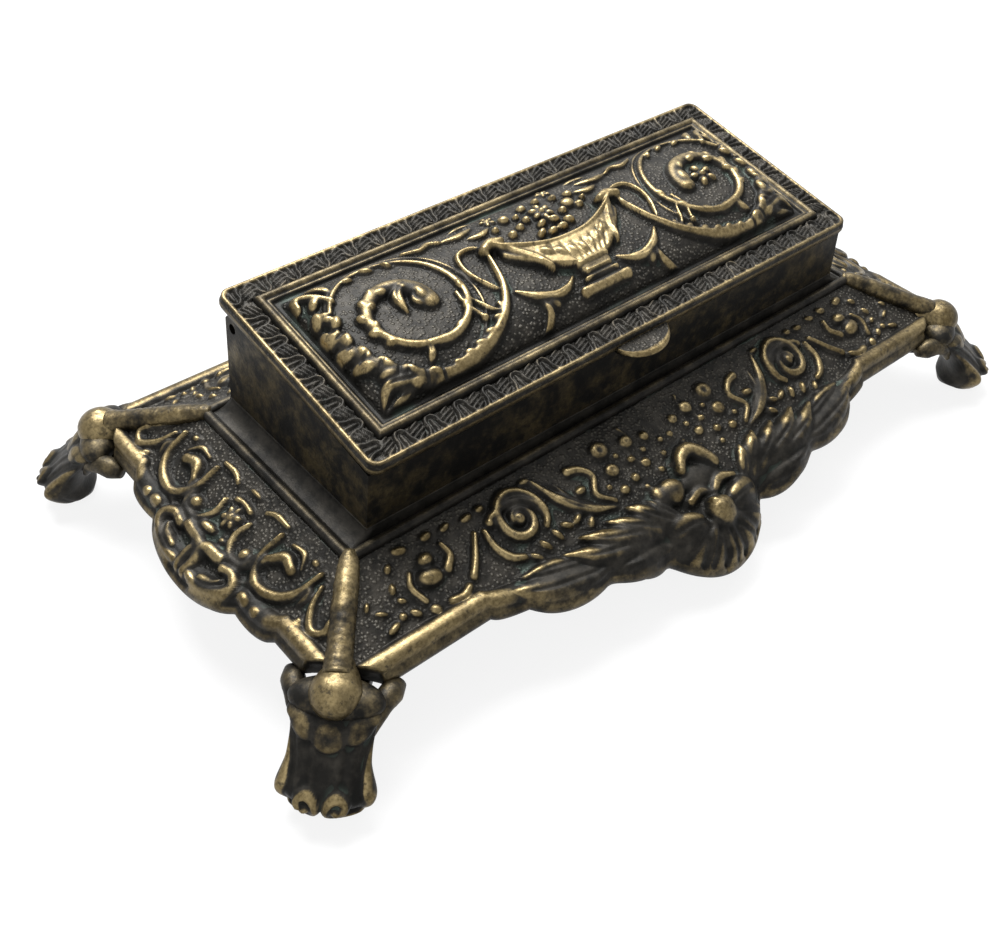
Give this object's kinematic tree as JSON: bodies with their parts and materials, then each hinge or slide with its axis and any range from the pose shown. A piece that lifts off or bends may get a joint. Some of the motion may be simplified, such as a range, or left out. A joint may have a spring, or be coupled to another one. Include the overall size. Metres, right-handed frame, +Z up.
{
  "type": "desk inkwell",
  "caption": "Footed cast-brass desk inkwell: a flared ornamental tray carries a casket with a sloping hinged lid over glass ink pots.",
  "frame": {"origin": "on the table, under the middle of the tray", "axes": "+Z up, +X along the casket, -Y towards the thumb tab and the writer"},
  "size_m": [0.17, 0.1018, 0.0472],
  "materials": {
    "patinated_brass": "dark bronze patina, rubbed to brass on the high places",
    "plain_brass": "turned and sheet brass, dull",
    "pot_glass": "clear pressed glass"
  },
  "bodies": {
    "stand": {"tray": "patinated_brass", "casket": "patinated_brass", "hinge_pin": "plain_brass", "base_plate": "plain_brass", "plate_screws": "plain_brass", "foot_screws": "plain_brass", "partition_left": "plain_brass", "partition_right": "plain_brass", "ink_pot_left": "pot_glass", "ink_pot_right": "pot_glass", "foot_front_left": "patinated_brass", "foot_front_right": "patinated_brass", "foot_rear_left": "patinated_brass", "foot_rear_right": "patinated_brass"},
    "lid": {"lid": "patinated_brass"}
  },
  "joints": [
    {"name": "lid_hinge", "type": "hinge", "parent": "stand", "child": "lid", "pos_m": [0, 0.0177, 0.03925], "axis": [-1, 0, 0], "range_deg": [0, 105]}
  ]
}
